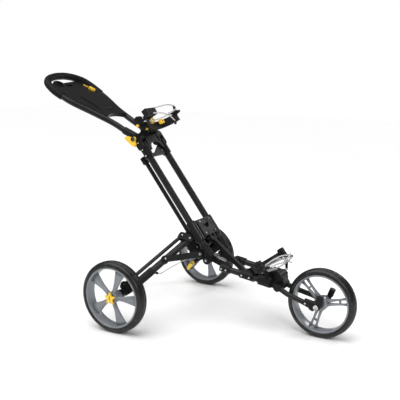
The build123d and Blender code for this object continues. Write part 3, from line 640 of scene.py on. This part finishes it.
def yoke_details():
    """Screws on the yoke's cheeks and sleeves, and ribs across its front."""
    places = []
    for side in OUTWARD.values():
        for s, t in ((564, 15), (500, TUBE_T), (529, TUBE_T)):
            places.append((on_spine(s, t) + side * (YOKE_SCREW_Y * MM), side))
    screws("yoke_screws", places, "main_frame")
    ribs = [(574, 580, 31, 34, -40, 40), (590, 596, 31, 34, -24, 24), (556, 562, 31, 33, -42, 42)]
    spine_blocks("yoke_ribs", ribs, "black_plastic", "main_frame", 1.0)


def slider_details():
    """Long ridges on the slider's collars, coloured lighter than the paint as a painted highlight, and screws on
    its plate.
    """
    body = "slider"
    routes = []
    for side in (-1, 1):
        for lean in (-35, 0, 35):
            angle = math.radians(lean)
            t = TUBE_T + RIDGE_RADIUS * math.cos(angle)
            y = side * TUBE_Y + RIDGE_RADIUS * math.sin(angle)
            routes.append([(on_spine(s, t, y), 1.3) for s in (82, 110, 138, 166)])
    # The ridges' lighter colour paints the highlight streaks along the collars.
    curve_piece("collar_ridges", routes, "bright_ridge", body, 3)
    places = [(on_spine(s, 41, -38), OUT_OF_SPINE) for s in (98, 152)]
    screws("slider_screws", places, body)


def pin_screws():
    """Bright screws in the heads of the leg linkage's pins, the front section's pivot and the hub block."""
    for side, outward in OUTWARD.items():
        pins = (
            ("leg_fold", "slider", 24.0),
            ("leg_rod_swing", "slider", 24.0),
            ("leg_strut_swing", "main_frame", 27.0),
            ("carrier_swing", f"{side}_wheel_carrier", 23.5),
        )
        for joint, body, reach in pins:
            entry = JOINTS[f"{side}_{joint}"]
            axis = Vector(entry["axis"]) * PIN_HEADS[side]
            place = Vector(entry["pos_m"]) + axis * (reach * MM)
            screws(f"{side}_{joint}_screw", [(place, axis)], body)
        place = FOLD_PIVOT + outward * (91 * MM)
        screws(f"{side}_fold_screw", [(place, outward)], "main_frame", 4.0)
        place = on_spine(72, -30) + outward * (43 * MM)
        screws(f"{side}_hub_screw", [(place, outward)], "slider", 3.0)


def fork_details():
    """A bright ring round each end of the front axle, and the adjuster on the fork's right end."""
    low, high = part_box("front_axle")
    centre = Vector(JOINTS["front_wheel_spin"]["pos_m"])
    body = "front_section"
    ring = [(5.5, -1), (10.2, -1), (10.2, 0.6), (9.4, 1.4), (6.3, 1.4), (5.5, 0.6)]
    for side, reach in (("right", centre.y - low[1]), ("left", high[1] - centre.y)):
        outward = OUTWARD[side]
        end = centre + outward * reach
        turned_piece(f"{side}_axle_ring", end, outward, ring, "steel", body)

    def by_axle(x, z, y):
        """The point at x, y, z mm from the middle of the axle."""
        return centre + Vector((x, y, z)) * MM

    block = [(0, 24, 4, 42, -65, -44)]
    spine_blocks("adjuster_block", block, "black_plastic", body, 2.0, by_axle)
    sleeve = [(by_axle(-50, 14, -54), 13.0), (by_axle(-24, 9, -54), 13.0), (by_axle(6, 6, -54), 13.0)]
    curve_piece("adjuster_sleeve", [sleeve], "black_plastic", body)
    screws("fork_screws", [(by_axle(-44, 9, -66), -ACROSS)], body, 4.0)


def release_slots():
    """A near-black block on the face of each star-shaped release button, painted shade in place of a cut slot."""
    for side, outward in OUTWARD.items():
        low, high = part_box(f"{side}_release_button")
        middle = (Vector(low) + Vector(high)) / 2
        face = middle + outward * ((high[1] - low[1]) / 2)

        def by_face(x, z, y):
            """The point at x, z mm across the face and y mm out of it."""
            return face + Vector((x * MM, 0, z * MM)) + outward * (y * MM)

        name = f"{side}_release_slot"
        # The slot is not cut: a near-black block paints the shade inside it.
        slot = [(-1.6, 1.6, -8, 8, -0.6, 0.4)]
        spine_blocks(name, slot, "painted_slot_shade", f"{side}_release", 0.3, by_face)


def console_details():
    """A rolled rim on the cup and a light stick clipped beside the button."""
    socket = frame["record"]["mounts"][0]
    bore = socket["dims"]["r_mm"]
    normal = Vector(socket["axis"])
    half_depth = 17
    mouth = Vector(socket["pos_m"]) + normal * (half_depth * MM)
    ring = ((0.3, -2.5), (6.5, -2.5), (7.0, -1.0), (5.5, 1.6), (1.5, 1.8), (0.3, 0.8), (0.3, -2.5))
    rim = [(bore + wider, along) for wider, along in ring]
    points = []
    faces = []
    turned(points, faces, mouth, normal, rim, 64)
    add_mesh("cup_rim", points, faces[:-2], "black_plastic", "handle")
    low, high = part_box("handle_button")
    button = (Vector(low) + Vector(high)) / 2 - normal * (1.5 * MM)
    rise = Vector((-normal.z, 0, normal.x))
    knots = ((22, -4), (33, -7), (44, -10))
    stick = [(button + rise * (up * MM) + ACROSS * (y * MM), 2.4) for up, y in knots]
    curve_piece("light_stick", [stick], "yellow_plastic", "handle")


for each in ("right", "left"):
    leg_details(each)
yoke_details()
slider_details()
pin_screws()
fork_details()
release_slots()
console_details()

# ---------------------------------------------------------------------------------------------
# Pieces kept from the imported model
# ---------------------------------------------------------------------------------------------
# Material of each solid that is kept; the ones not named are black plastic.
KEPT = {
    "frame_paint": (
        "spine_tubes", "front_tubes", "handle_tube", "fork", "right_leg", "left_leg",
        "right_leg_rod", "left_leg_rod", "guide_rod",
    ),
    "flat_black": ("right_leg_strut", "left_leg_strut", "front_strut"),
    "dark_steel": (
        "yoke_fasteners", "lower_fasteners", "slider_fasteners", "front_axle",
        "right_axle_and_pins", "left_axle_and_pins",
    ),
    "steel": ("front_fasteners", "right_wheel_bearings", "left_wheel_bearings", "front_wheel_bearings"),
    "yellow_plastic": (
        "handle_cam_lever", "brake_pedal", "handle_button",
        "right_release_button", "left_release_button",
    ),
    "gloss_black": ("console", "console_lid"),
    "rubber": ("handle_grip",),
    "cable": ("right_brake_cable", "left_brake_cable"),
}
material_of = {name: material for material, names in KEPT.items() for name in names}
for name, node in NODES.items():
    paint(node, material_of.get(name, "black_plastic"))

# Solids whose edges are rounded, by the width of the rounding in mm.
ROUNDED = {
    2.4: ("console", "console_lid", "cup_holder"),
    1.6: (
        "yoke", "slider_casting", "hub_block", "front_head", "cross_bracket", "front_knuckles",
        "lower_bracket",
    ),
    1.2: (
        "upper_cradle_band", "lower_cradle_band", "right_leg_strut", "left_leg_strut", "front_strut",
        "right_wheel_carrier", "left_wheel_carrier", "handle_cam_lever", "brake_pedal", "fork_ends",
        "right_release_button", "left_release_button", "handle_button", "tracking_knob",
        "front_tube_caps",
    ),
}
for width, names in ROUNDED.items():
    for name in names:
        round_edges(NODES[name], width * MM)

# ---------------------------------------------------------------------------------------------
# Floor, light and camera
# ---------------------------------------------------------------------------------------------
def floor():
    """A pale floor that the trolley stands on."""
    mesh = bpy.data.meshes.new("floor")
    reach = 9.0
    corners = [(-reach, -reach, 0), (reach, -reach, 0), (reach, reach, 0), (-reach, reach, 0)]
    mesh.from_pydata(corners, [], [(0, 1, 2, 3)])
    obj = bpy.data.objects.new("floor", mesh)
    bpy.context.scene.collection.objects.link(obj)
    shader = Shader("floor")
    cloud = shader.noise(0.7, 3.0)
    shader.feed("Base Color", shader.blend(cloud, rgb(0.93, 0.93, 0.93), rgb(0.96, 0.96, 0.96)))
    shader.feed("Roughness", shader.spread(shader.noise(6.0), 0.3, 0.7, 0.75, 0.9))
    obj.data.materials.append(shader.material)


def light(name, place, aim, size, power):
    """A square soft light."""
    lamp = bpy.data.lights.new(name, "AREA")
    lamp.size = size
    lamp.energy = power
    obj = bpy.data.objects.new(name, lamp)
    bpy.context.scene.collection.objects.link(obj)
    obj.location = place
    obj.rotation_euler = (Vector(aim) - Vector(place)).to_track_quat("-Z", "Y").to_euler()


def sun(name, direction, strength, width):
    """A soft, even light from far away; width is its angle in degrees."""
    lamp = bpy.data.lights.new(name, "SUN")
    lamp.energy = strength
    lamp.angle = math.radians(width)
    obj = bpy.data.objects.new(name, lamp)
    bpy.context.scene.collection.objects.link(obj)
    obj.rotation_euler = Vector(direction).to_track_quat("-Z", "Y").to_euler()


# Strength of the backdrop for every ray but the camera's.
SKY_LEVEL = 0.17


def studio():
    """A backdrop that is white to the camera and dim to all else, a broad sun and two square lights."""
    world = bpy.data.worlds.new("studio")
    bpy.context.scene.world = world
    world.use_nodes = True
    nodes = world.node_tree.nodes
    links = world.node_tree.links
    backdrop = nodes["Background"]
    backdrop.inputs["Color"].default_value = rgb(1.0, 1.0, 1.0)
    path = nodes.new("ShaderNodeLightPath")
    level = nodes.new("ShaderNodeMapRange")
    level.inputs["To Min"].default_value = SKY_LEVEL
    level.inputs["To Max"].default_value = 1.0
    links.new(path.outputs["Is Camera Ray"], level.inputs["Value"])
    links.new(level.outputs["Result"], backdrop.inputs["Strength"])
    sun("overhead", (0.25, 0.30, -1.0), 3.1, 75)
    light("front", (2.2, -1.9, 1.9), (0.1, 0, 0.4), 0.7, 26)
    light("back", (1.1, 2.6, 2.0), (0, 0, 0.5), 0.9, 26)


def camera():
    """The view from the trolley's front right."""
    data = bpy.data.cameras.new("camera")
    data.sensor_width = 36.0
    data.lens = 67.2
    obj = bpy.data.objects.new("camera", data)
    bpy.context.scene.collection.objects.link(obj)
    rear_axle = Vector((JOINTS["right_wheel_spin"]["pos_m"][0], 0, 0))
    place = rear_axle + Vector((1.7171, -2.6225, 1.1009))
    aim = rear_axle + Vector((0.2125, -0.0567, 0.5025))
    obj.location = place
    obj.rotation_euler = (aim - place).to_track_quat("-Z", "Y").to_euler()
    bpy.context.scene.camera = obj


floor()
studio()
camera()
bpy.context.scene.view_settings.view_transform = "Standard"
